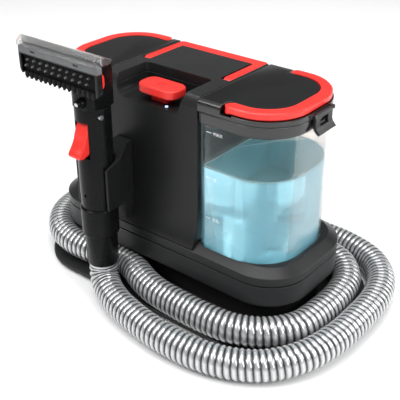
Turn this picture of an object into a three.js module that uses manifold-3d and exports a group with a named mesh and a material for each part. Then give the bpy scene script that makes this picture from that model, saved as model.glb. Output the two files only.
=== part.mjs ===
// Portable carpet and upholstery washer: a two-tank suction machine on a hose
// tray, with a hand wand parked in a holster on its front and a corrugated
// suction hose wound round its foot.
// Units are millimetres, +Z is up, +X points to the clean-water tank, -Y is
// the front. The plan centre of the base shell is the working origin; the
// whole group is shifted at the end so that the origin lies at the bottom
// centre of the machine without its hose.
import * as THREE from 'three';
import { mergeVertices } from 'three/addons/utils/BufferGeometryUtils.js';
import Module from 'manifold-3d';

const wasm = await Module();
wasm.setup();

// ---------------------------------------------------------------- dimensions
const GAP = 0.3;                 // running gap between neighbouring pieces
// foot tray
const TRAY = { x0: -198, x1: 222, y: 119, r: 80, z0: 2.6, z1: 8 };
const PLINTH = { x: 168, y: 63.4, r: 44, wall: 3, z1: 44.6 };
// base shell and cradle
const BASE = { x: 185, y: 81, r: 54, z0: 45, z1: 73, wall: 3 };
const CRADLE = { z0: 73.4, zRim: 84.6, z1: 93, chamfer: 12, seat: 81.6 };
// tower between the tanks
const TOWER = { x0: -80, x1: 59, y: 70, z1: 264, flare: 128, flareY: 80.4, wall: 3, split: 10 };
const TOP = { z0: 264.3, z1: 276 };
// tanks: end of the tank, half depth, corner radius, heights
const TANK = { end: 166.5, y: 70.5, r: 54, ri: 7, wall: 2.5, z0: 82, z1: 261.4 };
const CLEAN_IN = 60.7;           // inner face of the clean-water side
const DIRTY_IN = 81.7;           // inner face of the waste-water side
const CLEAN_LEVEL = 195.5;
const DIRTY_LEVEL = 212;
const LID = { end: 168, y: 72, r: 55, z0: 261.8, z1: 276 };
const BAIL = { z0: 268, z1: 276.6, width: 13.3, x: 100, pivotX: 98, pivotZ: 272.3 };
const LATCH = { y0: -12, y1: 22, x: 171.3, z: 268.6 };
// carry handle
const HANDLE = { x0: -77.5, x1: 56, inL: -65.5, inR: 44, y0: 54.5, y1: 69.5, z0: 266.9, z1: 275.5, pivotZ: 271.2 };
// power button
const BUTTON = { x0: -37, x1: 19, y0: -65, y1: -34, z0: 258.5, z1: 269, floor: 249.5 };
// wand
const WAND = { x: -52, y: -119.5, r: 21, wall: 2.5, z0: 128.6, z1: 256.6 };
const COLLAR = { r: 22.6, z0: 91.3, z1: 128.2 };
const CUFF = { r: 19.6, z0: 48, z1: 91, bore: 14 };
const TRIGGER = { y: -128, z: 248, x0: -61.5, x1: -42.5 };
const NECK = { x0: -72, x1: -32, y0: -141, y1: -100, z0: 257, z1: 303.7 };
const HOOD_DEPTH = 8.6;          // skin depth of the silver hood at its edge
const SPRAY = { x: -45, z: 266 };
const HEAD = { x0: -112, x1: 8, y0: -166, y1: -158.6, z0: 291, z1: 325 };
// hose
const HOSE_R = 18.1;
const HOSE_SIDES = 10;
const HOSE_STEPS = 72;
const PORT = { x0: -95, x1: -52, y: 98.6, z: 28.5, r: 20, bore: 15.5 };

// ------------------------------------------------------------ solid helpers
const V2 = (x, y) => new THREE.Vector2(x, y);

// closed three.js geometry -> manifold solid with its faces pointing out
function solid(geo) {
  const g = geo.clone();
  for (const k of Object.keys(g.attributes)) if (k !== 'position') g.deleteAttribute(k);
  const m = mergeVertices(g, 1e-4);
  const pos = new Float32Array(m.attributes.position.array);
  let tri = Uint32Array.from(m.index.array);
  const kept = [];
  let vol = 0;
  for (let i = 0; i < tri.length; i += 3) {
    const [a, b, c] = [tri[i], tri[i + 1], tri[i + 2]];
    if (a === b || b === c || a === c) continue;
    kept.push(a, b, c);
    const p = (k) => [pos[3 * k], pos[3 * k + 1], pos[3 * k + 2]];
    const [A, B, C] = [p(a), p(b), p(c)];
    vol += (A[0] * (B[1] * C[2] - B[2] * C[1]) - A[1] * (B[0] * C[2] - B[2] * C[0])
      + A[2] * (B[0] * C[1] - B[1] * C[0])) / 6;
  }
  tri = Uint32Array.from(kept);
  if (vol < 0) for (let i = 0; i < tri.length; i += 3) [tri[i + 1], tri[i + 2]] = [tri[i + 2], tri[i + 1]];
  return new wasm.Manifold(new wasm.Mesh({ numProp: 3, vertProperties: pos, triVerts: tri }));
}

// solid -> three.js geometry
function geometry(man) {
  const m = man.getMesh();
  const n = m.numProp;
  const count = m.vertProperties.length / n;
  const pos = new Float32Array(count * 3);
  for (let i = 0; i < count; i++) for (let k = 0; k < 3; k++) pos[3 * i + k] = m.vertProperties[n * i + k];
  const g = new THREE.BufferGeometry();
  g.setAttribute('position', new THREE.BufferAttribute(pos, 3));
  g.setIndex(new THREE.BufferAttribute(Uint32Array.from(m.triVerts), 1));
  return g;
}

const join = (...s) => s.reduce((a, b) => a.add(b));
const cut = (a, ...s) => s.reduce((x, b) => x.subtract(b), a);

// mirrored copy of a solid in the plane x = 0
function mirrorX(man) {
  const g = geometry(man);
  const p = g.attributes.position.array;
  for (let i = 0; i < p.length; i += 3) p[i] = -p[i];
  return solid(g);
}

// ------------------------------------------------------------ plan outlines
// rounded rectangle, counter-clockwise; r = [x1y0, x1y1, x0y1, x0y0]
function rrect(x0, x1, y0, y1, r, seg = 10) {
  const R = Array.isArray(r) ? r : [r, r, r, r];
  const c = [[x1, y0, -90, R[0]], [x1, y1, 0, R[1]], [x0, y1, 90, R[2]], [x0, y0, 180, R[3]]];
  const out = [];
  for (const [cx, cy, a0, rad] of c) {
    if (rad <= 0) { out.push(V2(cx, cy)); continue; }
    const ox = cx === x1 ? x1 - rad : x0 + rad;
    const oy = cy === y1 ? y1 - rad : y0 + rad;
    const n = rad < 15 ? Math.max(3, Math.round(seg / 3)) : seg;
    for (let i = 0; i <= n; i++) {
      const a = ((a0 + (90 * i) / n) * Math.PI) / 180;
      out.push(V2(ox + rad * Math.cos(a), oy + rad * Math.sin(a)));
    }
  }
  return out;
}

// prism of a plan outline between two heights
function prism(pts, z0, z1) {
  const g = new THREE.ExtrudeGeometry(new THREE.Shape(pts), { depth: z1 - z0, bevelEnabled: false, steps: 1 });
  g.translate(0, 0, z0);
  return solid(g);
}

// prism with its two rims chamfered or rolled
function rolled(pts, z0, z1, size, thick, seg = 1) {
  const g = new THREE.ExtrudeGeometry(new THREE.Shape(pts), {
    depth: z1 - z0 - 2 * thick, bevelEnabled: true, bevelSize: size, bevelThickness: thick,
    bevelOffset: -size, bevelSegments: seg, steps: 1,
  });
  g.translate(0, 0, z0 + thick);
  return solid(g);
}

const box = (x0, x1, y0, y1, z0, z1) => {
  const g = new THREE.BoxGeometry(x1 - x0, y1 - y0, z1 - z0);
  g.translate((x0 + x1) / 2, (y0 + y1) / 2, (z0 + z1) / 2);
  return solid(g);
};

// YZ profile swept along X
function sweepX(prof, x0, x1) {
  const g = new THREE.ExtrudeGeometry(new THREE.Shape(prof.map(([y, z]) => V2(y, z))), { depth: x1 - x0, bevelEnabled: false, steps: 1 });
  g.applyMatrix4(new THREE.Matrix4().makeBasis(new THREE.Vector3(0, 1, 0), new THREE.Vector3(0, 0, 1), new THREE.Vector3(1, 0, 0)));
  g.translate(x0, 0, 0);
  return solid(g);
}

// XZ profile swept along Y
function sweepY(prof, y0, y1) {
  const g = new THREE.ExtrudeGeometry(new THREE.Shape(prof.map(([x, z]) => V2(x, z))), { depth: y1 - y0, bevelEnabled: false, steps: 1 });
  g.applyMatrix4(new THREE.Matrix4().makeBasis(new THREE.Vector3(1, 0, 0), new THREE.Vector3(0, 0, 1), new THREE.Vector3(0, -1, 0)));
  g.translate(0, y1, 0);
  return solid(g);
}

// profile of [radius, height] pairs turned about a vertical line
function turned(prof, x, y, seg = 24) {
  const g = new THREE.LatheGeometry(prof.map(([r, z]) => V2(r, z)), seg);
  g.rotateX(Math.PI / 2);
  g.translate(x, y, 0);
  return solid(g);
}

// upright cylinder, and cylinders along X and Y
const cylZ = (r, z0, z1, x, y, seg = 16) => {
  const g = new THREE.CylinderGeometry(r, r, z1 - z0, seg);
  g.rotateX(Math.PI / 2);
  g.translate(x, y, (z0 + z1) / 2);
  return solid(g);
};
const cylX = (r, x0, x1, y, z, seg = 12) => {
  const g = new THREE.CylinderGeometry(r, r, x1 - x0, seg);
  g.rotateZ(Math.PI / 2);
  g.translate((x0 + x1) / 2, y, z);
  return solid(g);
};
const cylY = (r, y0, y1, x, z, seg = 12, r2 = r) => {
  const g = new THREE.CylinderGeometry(r2, r, y1 - y0, seg);
  g.translate(x, (y0 + y1) / 2, z);
  return solid(g);
};

// ------------------------------------------------------------ the assembly
const root = new THREE.Group();
const wandGroup = new THREE.Group();
const nozzleGroup = new THREE.Group();
wandGroup.add(nozzleGroup);
root.add(wandGroup);

const BLACK = { color: 0x17181a, roughness: 0.42, metalness: 0 };
const GLOSS = { color: 0x121315, roughness: 0.2, metalness: 0 };
const RED = { color: 0xe0302c, roughness: 0.35, metalness: 0 };
const SMOKE = { color: 0xb9b0a2, roughness: 0.08, metalness: 0, transparent: true, opacity: 0.4 };
const WATER = { color: 0x7fc4dc, roughness: 0.05, metalness: 0, transparent: true, opacity: 0.55 };
const AMBER = { color: 0x9a6a22, roughness: 0.1, metalness: 0, transparent: true, opacity: 0.75 };
const SILVER = { color: 0xc9cbcd, roughness: 0.28, metalness: 0.35 };
const RUBBER = { color: 0x101010, roughness: 0.85, metalness: 0 };
const STEEL = { color: 0xb8babd, roughness: 0.3, metalness: 1 };

function put(name, man, mat, parent = root) {
  const mesh = new THREE.Mesh(geometry(man), new THREE.MeshStandardMaterial(mat));
  mesh.name = name;
  parent.add(mesh);
}

// ---- foot tray: hose flange, plinth wall and four rubber feet
{
  const flange = rolled(rrect(TRAY.x0, TRAY.x1, -TRAY.y, TRAY.y, TRAY.r, 12), TRAY.z0, TRAY.z1, 1.4, 1.4);
  const wall = cut(
    prism(rrect(-PLINTH.x, PLINTH.x, -PLINTH.y, PLINTH.y, PLINTH.r, 8), TRAY.z1 - 1, PLINTH.z1),
    prism(rrect(-PLINTH.x + 3, PLINTH.x - 3, -PLINTH.y + 3, PLINTH.y - 3, PLINTH.r - 3, 8), TRAY.z1, PLINTH.z1 + 1),
    box(-93, -79, 50, 80, 14, 38));
  put('base_tray', join(flange, wall), BLACK);
  let i = 1;
  for (const [x, y] of [[-130, -82], [150, -82], [-130, 82], [150, 82]]) {
    put(`foot_${i++}`, turned([[0, 0], [8.5, 0], [10, 1.2], [10, 2.3], [0, 2.3]], x, y, 16), RUBBER);
  }
}

// ---- base shell: the lower wall above the hose channel
{
  const outer = cut(rolled(rrect(-BASE.x, BASE.x, -BASE.y, BASE.y, BASE.r, 12), BASE.z0, BASE.z1 + 10, 2.5, 2.5),
    box(-200, 200, -100, 100, BASE.z1, BASE.z1 + 20));
  const inner = prism(rrect(-BASE.x + 3, BASE.x - 3, -BASE.y + 3, BASE.y - 3, BASE.r - 3, 12), BASE.z0 + 3, BASE.z1 + 2);
  const mouth = prism(rrect(-160, 160, -56, 56, 40, 8), BASE.z0 - 1, BASE.z0 + 4);
  put('base_shell', cut(outer, inner, mouth, cylY(6.5, 70, 90, 100, 60, 16)), BLACK);
}

// outline of a tank; side +1 clean, built on the +X side, inner face at xi
const tankOutline = (xi, d = 0) => rrect(xi + 1.3 + d, TANK.end - d, -TANK.y + d, TANK.y - d,
  [TANK.r - d, TANK.r - d, Math.max(2, TANK.ri - d), Math.max(2, TANK.ri - d)], 12);

// ---- cradle: chamfered rim with a seat for each tank
{
  const body = cut(rolled(rrect(-BASE.x, BASE.x, -BASE.y, BASE.y, BASE.r, 12), CRADLE.zRim - 30, CRADLE.z1,
    CRADLE.chamfer, CRADLE.z1 - CRADLE.zRim), box(-200, 200, -100, 100, CRADLE.zRim - 40, CRADLE.z0 + 1));
  const lip = prism(rrect(-BASE.x + 1, BASE.x - 1, -BASE.y + 1, BASE.y - 1, BASE.r - 1, 12), CRADLE.z0, CRADLE.z0 + 1.2);
  const seatC = prism(tankOutline(CLEAN_IN, -0.6), CRADLE.seat, 110);
  const seatD = mirrorX(prism(tankOutline(DIRTY_IN, -0.6), CRADLE.seat, 110));
  const under = prism(rrect(-BASE.x + 4, BASE.x - 4, -BASE.y + 4, BASE.y - 4, BASE.r - 4, 12), CRADLE.z0 - 1, CRADLE.seat - 3);
  put('base_cradle', cut(join(body, lip), seatC, seatD, under, box(-70, 49, -58, 58, 70, 110),
    cylZ(9, 70, 90, 115, 0), cylZ(16, 70, 90, -125, 20)), BLACK);
}

// ---- tower between the tanks
const flareAt = (t) => TOWER.y + (TOWER.flareY - TOWER.y) * Math.pow(t, 2.1);
function towerProfile(grow) {
  const f = [];
  const n = 7;
  for (let i = 0; i <= n; i++) {
    const t = i / n;
    f.push([flareAt(t) + grow, TOWER.flare - (TOWER.flare - 88) * t]);
  }
  const front = f.map(([y, z]) => [-y, z]);
  const rear = f.map(([y, z]) => [y, z]).reverse();
  return [[-TOWER.y - grow, TOWER.z1 + 8 * grow], ...front, [-TOWER.flareY - grow, 85.9], [-69, 93.8], [69, 93.8],
    [TOWER.flareY + grow, 85.9], ...rear, [TOWER.y + grow, TOWER.z1 + 8 * grow]];
}
const pocketIn = [[-62.6, 284], [-60.4, 258], [-58.8, 253.4], [-55.6, 250.6], [-51.5, BUTTON.floor], [24, BUTTON.floor],
  [28.2, 250.4], [31.2, 253], [33.2, 257], [42.8, 284]];
const pocketOut = [[-65.4, 284], [-63.2, 257.4], [-61.2, 251.6], [-57, 248.2], [-52, 246.9], [24.6, 246.9],
  [29.8, 248], [33.6, 251.2], [36, 256], [45.8, 284]];
const pocket = sweepY(pocketIn, -95, -17).intersect(prism(rrect(-64, 42, -96, -17, [0, 10, 10, 0], 18), 240, 290));
{
  const outer = sweepX(towerProfile(0), TOWER.x0, TOWER.x1);
  const inner = box(TOWER.x0 + 3, TOWER.x1 - 3, -TOWER.y + 3, TOWER.y - 3, 80, TOWER.z1 + 5);
  const shell = cut(outer, inner);
  const tub = sweepY(pocketOut, -TOWER.y + 1, -14.4).intersect(box(TOWER.x0 + 2, TOWER.x1 - 2, -69, 0, 240, TOWER.z1));
  const stem = box(-21, 3, -56, -42, 240, 255);
  const led = cylZ(2.1, 244, 255, 8, -62, 12);
  put('tower_front', cut(join(shell, tub), pocket, box(-100, 100, TOWER.split - 0.15, 120, 60, 300), stem, led), BLACK);
  const slots = [];
  for (let k = 0; k < 8; k++) slots.push(box(-46, 26, 60, 90, 196 + k * 7, 199.2 + k * 7));
  put('tower_rear', cut(shell, box(-100, 100, -120, TOWER.split + 0.15, 60, 300), ...slots,
    cylY(1.9, 60, 90, -68, 150), cylY(1.9, 60, 90, 47, 150)), BLACK);
  const screw = (x) => join(cylY(3.3, 70.3, 72.2, x, 150, 12), cylY(1.5, 62, 70.6, x, 150, 10));
  put('cover_screw_1', screw(-68), STEEL);
  put('cover_screw_2', screw(47), STEEL);
}

// ---- top panel with the grip pocket and the carry-handle groove
{
  const slab = sweepX([[-TOWER.y, TOP.z0], [-TOWER.y + 1.2, 268], [-TOWER.y + 3.4, 273.4], [-64.4, TOP.z1], [64.5, TOP.z1], [TOWER.y, 270.5], [TOWER.y, TOP.z0]].reverse(),
    TOWER.x0, TOWER.x1);
  const zc = HANDLE.z0 - 0.5;
  const groove = join(box(HANDLE.x0 - 0.5, HANDLE.x1 + 0.5, HANDLE.y0 - 0.5, 90, zc, 290),
    box(HANDLE.x0 - 0.5, HANDLE.inL + 0.5, -9, 60, zc, 290),
    box(HANDLE.inR - 2.6, HANDLE.x1 + 0.5, -9, 60, zc, 290));
  const pins = join(cylX(2.3, HANDLE.inL - 1, HANDLE.inL + 4, 0, HANDLE.pivotZ, 10),
    cylX(2.3, HANDLE.x1 - 1, TOWER.x1 + 2, 0, HANDLE.pivotZ, 10));
  put('top_panel', cut(slab, pocket, groove, pins), BLACK);

  const frame = cut(prism(rrect(HANDLE.x0, HANDLE.x1, -20, HANDLE.y1, [0, 4, 4, 0], 9), HANDLE.z0, HANDLE.z1),
    prism(rrect(HANDLE.inL, HANDLE.inR, -40, HANDLE.y0, 0), 250, 290),
    box(-100, 100, -40, 0, 250, 290));
  const half = (HANDLE.z1 - HANDLE.z0) / 2;
  const bar = join(frame, cylX(half, HANDLE.x0, HANDLE.inL, 0, HANDLE.pivotZ, 16), cylX(half, HANDLE.inR, HANDLE.x1, 0, HANDLE.pivotZ, 16),
    cylX(2, HANDLE.inL - 1, HANDLE.inL + 3.5, 0, HANDLE.pivotZ, 10), cylX(2, HANDLE.x1 - 1, HANDLE.x1 + 2.4, 0, HANDLE.pivotZ, 10));
  put('carry_handle', bar, RED);
}

// ---- power button, its switch and the pilot light
{
  put('power_button', join(rolled(rrect(BUTTON.x0, BUTTON.x1, BUTTON.y0, BUTTON.y1, 11, 15), BUTTON.z0, BUTTON.z1, 1.4, 1.4, 1),
    box(-20.5, 2.5, -55.5, -42.5, 245.5, BUTTON.z0 + 1)), RED);
  put('power_switch', join(box(-22, 4, -58, -40, 228, 240), box(-14, -4, -52, -46, 239, 241.2)), { color: 0x2b3034, roughness: 0.5, metalness: 0 });
  put('status_led', join(cylZ(1.8, 243, 250.4, 8, -62, 12), cylZ(3, 242, 246.5, 8, -62, 12)), { color: 0x7fb4ff, roughness: 0.2, metalness: 0 });
}

// ---- inside the tower: suction motor, fan, pump and control board
{
  put('vacuum_motor', turned([[0, 98], [33, 98], [36, 101], [36, 150], [40, 152], [40, 158], [30, 162], [12, 164], [12, 170], [4, 170], [4, 196], [0, 196]], -10, 8, 20),
    { color: 0x8d9196, roughness: 0.4, metalness: 0.8 });
  put('motor_mount', turned([[36.5, 102], [44, 102], [44, 120], [36.5, 120], [36.5, 102]], -10, 8, 20), RUBBER);
  put('fan_case', turned([[13, 172], [54, 172], [56, 175], [56, 222], [53, 226], [22, 226], [22, 222.5], [52, 222.5], [52.5, 221], [52.5, 176.5], [51.5, 175.5], [13, 175.5], [13, 172]], -10, 8, 24),
    { color: 0x3a3d40, roughness: 0.55, metalness: 0 });
  let fan = turned([[4.4, 182], [46, 182], [46, 184], [10, 185], [8, 200], [4.4, 200], [4.4, 182]], -10, 8, 20);
  for (let k = 0; k < 8; k++) {
    const g = new THREE.BoxGeometry(34, 1.6, 14);
    g.translate(28, 0, 190.5);
    g.rotateZ((k * Math.PI) / 4);
    g.translate(-10, 8, 0);
    fan = fan.add(solid(g));
  }
  put('impeller', fan, { color: 0xb9bcc0, roughness: 0.35, metalness: 0.6 });
  put('water_pump', join(box(14, 46, -62, -38, 97, 128), cylZ(11, 127, 152, 30, -50, 16), cylX(3.2, 46, 53, -50, 106, 10), cylX(3.2, 7, 14, -50, 106, 10)),
    { color: 0x33373a, roughness: 0.5, metalness: 0 });
  put('circuit_board', join(box(-62, 2, -65.6, -64, 178, 214), box(-56, -38, -64.1, -54, 184, 204), box(-30, -16, -64.1, -58, 184, 198), cylY(5, -64.1, -52, -6, 205, 12)),
    { color: 0x1f5a3a, roughness: 0.6, metalness: 0 });
  put('mains_gland', cut(join(cylY(9, 81.3, 84.5, 100, 60, 16), cylY(6, 76, 81.5, 100, 60, 16), cylY(6.4, 84.4, 98, 100, 60, 16, 5.2)),
    cylY(3.6, 70, 110, 100, 60, 12)), RUBBER);
}

// ---- suction port behind the base, and the hose's end coupler
{
  const duct = box(-95, -77, 63.8, 100, 12, 40);
  const barrel = cylX(PORT.r, PORT.x0, PORT.x1, PORT.y, PORT.z, 20);
  const bore = join(cylX(PORT.bore, PORT.x0 + 4, PORT.x1 + 1, PORT.y, PORT.z, 16), box(-92, -80, 60, 100, 15, 37));
  put('hose_port', cut(join(duct, barrel), bore, box(-100, -60, 60, 63.7, 0, 60)), BLACK);
  put('hose_coupler', cut(join(cylX(19.4, PORT.x1 + GAP, -28, PORT.y, PORT.z, 20), cylX(14.8, PORT.x1 - 12, PORT.x1 + 1, PORT.y, PORT.z, 16)),
    cylX(12, -70, -20, PORT.y, PORT.z, 14)), BLACK);
}

// ---- holster: a U-shaped clip on a stem, open to the front
{
  const arm = WAND.r + 0.8;
  const plan = [V2(-41, -69), V2(-41, -80), V2(-27.4, -103), V2(-26.6, -128), V2(-77.4, -128), V2(-76.6, -103), V2(-64, -80), V2(-64, -69)].reverse();
  const cup = prism(plan, 129, 200);
  const plate = box(-64, -41, -86, -69, 96, 140);
  const bore = join(cylZ(arm, 60, 220, WAND.x, WAND.y, 28), box(WAND.x - arm, WAND.x + arm, -160, WAND.y, 60, 220));
  const top = sweepX([[-140, 90], [-60, 90], [-60, 198.5], [-70, 197.5], [-106, 190], [-124, 184], [-140, 178]], -100, 0);
  const tower = sweepX(towerProfile(0.35), -100, 20);
  put('holster', cut(join(cup, plate).intersect(top), bore, tower), BLACK);
}

// ------------------------------------------------------------ tank sets
// every piece is built on the +X side and mirrored for the waste side
function tankSet(tag, xi, level, side, extras) {
  const flip = (s) => (side < 0 ? mirrorX(s) : s);
  const lidPlan = (d = 0) => rrect(0, LID.end - d, -LID.y + d, LID.y - d, [LID.r - d, LID.r - d, 0, 0], 12);
  // the shell, open at the top
  let shell = cut(prism(tankOutline(xi), TANK.z0, TANK.z1), prism(tankOutline(xi, TANK.wall), TANK.z0 + TANK.wall, TANK.z1 + 5));
  let water = prism(tankOutline(xi, TANK.wall + GAP), TANK.z0 + TANK.wall + GAP, level);
  if (extras.valve) {
    shell = cut(shell, cylZ(4.6, 70, 90, 115, 0, 12));
    water = cut(water, cylZ(10, 70, 93, 115, 0, 16));
    put(`${tag}_valve`, flip(join(cylZ(8, 84.9, 87.6, 115, 0, 16), cylZ(4, 80.4, 85, 115, 0, 12), cylZ(6.4, 79.4, 80.6, 115, 0, 16))), RUBBER);
  }
  if (extras.tower) {
    // riser open at the top, with a slotted float guide beside it
    water = cut(water, cylZ(16, 70, 260, 125, 20, 20), cylZ(17, 70, 260, 125, -28, 20));
    put('separator_tower', flip(cut(join(cylZ(15, 84.9, 238, 125, 20, 20), box(122, 128, -13.2, 8, 234, 238), cut(cylZ(16, 224, 252, 125, -28, 20), cylZ(14.2, 220, 248, 125, -28, 20))),
      cylZ(12.8, 80, 233, 125, 20, 18), box(112, 138, -9, 8, 244, 252), box(120, 130, 26, 50, 200, 228))), { color: 0x2a2c2e, roughness: 0.4, metalness: 0 });
    put('float_ball', flip(turned([[0, 196], [7, 197.4], [11.4, 201.4], [13.2, 208], [11.4, 214.6], [7, 218.6], [0, 220]], 125, -28, 16)), { color: 0xd8dadb, roughness: 0.4, metalness: 0 });
  }
  put(`${tag}_tank`, flip(shell), SMOKE);
  put(`${tag}_water`, flip(water), side > 0 ? WATER : AMBER);
  // collar ring under the lid, with the latch's catch
  const collarPlan = (d) => rrect(xi + d, LID.end - d, -LID.y + d, LID.y - d, [LID.r - d, LID.r - d, 5, 5], 12);
  const collar = cut(prism(collarPlan(0), 248.6, 261.4), prism(tankOutline(xi, -GAP), 240, 262));
  put(`${tag}_collar`, flip(join(collar, box(167.4, 168.55, 1, 9, 256, 261))), GLOSS);
  // lid with a rebate for its bail and a skirt down inside the tank
  const inner = rrect(0, LID.end - 15.6, -LID.y + 15.6, LID.y - 15.6, [40, 40, 0, 0], 12);
  const keep = box(xi, 200, -90, 90, 200, 300);
  const slab = rolled(lidPlan(), LID.z0 - 20, LID.z1, 6, 6, 3).intersect(box(xi, 200, -90, 90, LID.z0, 300));
  const rebate = cut(box(91, 200, -90, 90, BAIL.z0 - 0.4, 300), prism(inner, 250, 300));
  const wells = join(box(91, 106, -90, -56.4, BAIL.z0 - 2.6, 300), box(91, 106, 56.4, 90, BAIL.z0 - 2.6, 300));
  const skirt = cut(prism(tankOutline(xi, 5.2), 254.6, LID.z0 + 1), prism(tankOutline(xi, 7.4), 250, LID.z0));
  const pinHoles = join(cylY(2.3, -57.4, -51.8, BAIL.pivotX, BAIL.pivotZ, 10), cylY(2.3, 51.8, 57.4, BAIL.pivotX, BAIL.pivotZ, 10));
  const ears = cut(join(box(166.5, 174, LATCH.y0 - 3, LATCH.y0 - 0.3, 263.6, BAIL.z0 - 0.4), box(166.5, 174, LATCH.y1 + 0.3, LATCH.y1 + 3, 263.6, BAIL.z0 - 0.4)),
    cylY(1.5, LATCH.y0 - 5, LATCH.y1 + 5, LATCH.x, 265.6, 8));
  put(`${tag}_lid`, flip(join(cut(slab.intersect(keep), rebate, wells, pinHoles), skirt, ears)), BLACK);
  put(`${tag}_seal`, flip(cut(prism(tankOutline(xi, TANK.wall + GAP), 256.4, 259.4), prism(tankOutline(xi, 4.9), 250, 262))), RUBBER);
  // bail: a D-shaped band lying in the rebate, pinned at its two ends
  const bandPlan = new THREE.Shape(rrect(0, LID.end - 1.6, -LID.y + 1.6, LID.y - 1.6, [LID.r - 1.6, LID.r - 1.6, 0, 0], 14));
  const band = cut(rolled(bandPlan.getPoints(), BAIL.z0, BAIL.z1, 1.6, 1.6, 1),
    prism(rrect(-20, LID.end - 1.6 - BAIL.width, -LID.y + 1.6 + BAIL.width, LID.y - 1.6 - BAIL.width, [40.1, 40.1, 0, 0], 14), 250, 300),
    box(-50, BAIL.x, -90, 90, 250, 300));
  const yEnd = LID.y - 1.6 - BAIL.width / 2;
  const tip = (y) => cut(cylZ(BAIL.width / 2, BAIL.z0, BAIL.z1 - 0.6, BAIL.x, y, 16), box(BAIL.x + 1, 130, -90, 90, 200, 300));
  const pin = (s) => (s < 0 ? cylY(2, -57.8, -52.6, BAIL.pivotX, BAIL.pivotZ, 10) : cylY(2, 52.6, 57.8, BAIL.pivotX, BAIL.pivotZ, 10));
  put(`${tag}_bail`, flip(join(band, tip(-yEnd), tip(yEnd), pin(-1), pin(1))), RED);
  // latch: a windowed clip hanging on the lid's end over the collar
  const clip = cut(join(
    sweepY([[169.1, 262.4], [169.1, 252], [171.6, 247.6], [176.6, 243.4], [178.8, 245.2], [174.2, 250.4], [173, 253.6], [173, 262.4]], LATCH.y0, LATCH.y1),
    cylY(2.5, LATCH.y0, LATCH.y1, LATCH.x, 265.6, 12), box(169.1, 173, LATCH.y0, LATCH.y1, 261, 265)),
  box(160, 180, LATCH.y0 + 9, LATCH.y1 - 9, 251.6, 261));
  put(`${tag}_latch`, flip(join(clip, cylY(1.2, LATCH.y0 - 2.6, LATCH.y1 + 2.6, LATCH.x, 265.6, 8))), BLACK);
}
tankSet('clean', CLEAN_IN, CLEAN_LEVEL, 1, { valve: true });
tankSet('dirty', DIRTY_IN, DIRTY_LEVEL, -1, { tower: true });

// ------------------------------------------------------------ wand
{
  const { x, y, r } = WAND;
  const tube = cut(turned([[r - 2.5, WAND.z0], [r - 0.4, WAND.z0], [r, 150], [r, WAND.z1], [r - 2.5, WAND.z1], [r - 2.5, WAND.z0]], x, y, 28),
    box(TRIGGER.x0 - 0.6, TRIGGER.x1 + 0.6, -160, -126, 196.5, 240),
    cylX(2.1, -90, -10, TRIGGER.y, TRIGGER.z, 10), cylY(2, -160, -130, x, 147, 10));
  put('wand_grip', tube, BLACK, wandGroup);
  put('suction_tube', turned([[9, 100], [10.6, 100], [10.6, 252.2], [9, 252.2], [9, 100]], x, y + 6.2, 18), { color: 0x55585b, roughness: 0.5, metalness: 0 }, wandGroup);
  put('wand_collar', turned([[17.9, COLLAR.z0], [COLLAR.r - 0.8, COLLAR.z0], [COLLAR.r, COLLAR.z0 + 1], [COLLAR.r, COLLAR.z1 - 1.6], [COLLAR.r - 1.4, COLLAR.z1], [17.9, COLLAR.z1], [17.9, COLLAR.z0]], x, y, 28), BLACK, wandGroup);
  put('hose_cuff', turned([[CUFF.bore, CUFF.z0], [CUFF.r - 0.6, CUFF.z0], [CUFF.r, CUFF.z0 + 1], [CUFF.r, CUFF.z1], [17.4, CUFF.z1], [17.4, 97], [CUFF.bore, 97], [CUFF.bore, CUFF.z0]], x, y, 28), BLACK, wandGroup);
  put('trigger_pin', join(cylX(1.8, -71.6, -31.2, TRIGGER.y, TRIGGER.z, 10), cylX(2.9, -31.3, -28.9, TRIGGER.y, TRIGGER.z, 12)), STEEL, wandGroup);
  const prof = [[-124.6, 252], [-131.4, 252], [-134.2, 248.5], [-134.4, 240], [-139.6, 238.2], [-142.2, 232], [-144.6, 221], [-149.4, 211.6], [-153.6, 206.4], [-154.4, 202.6], [-152, 199.6],
    [-146, 199], [-139, 200.6], [-133, 206], [-130, 215], [-127.6, 232], [-124.6, 245]];
  put('trigger', cut(sweepX(prof, TRIGGER.x0, TRIGGER.x1), cylX(2.1, -90, -10, TRIGGER.y, TRIGGER.z, 10)), RED, wandGroup);
  put('spray_valve', join(cylZ(3.2, 205, 225, -66.5, -117.5, 12), cylZ(1.6, 100, 246, -66.5, -117.5, 8)), { color: 0xc9ccd0, roughness: 0.4, metalness: 0.2 }, wandGroup);
}

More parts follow.
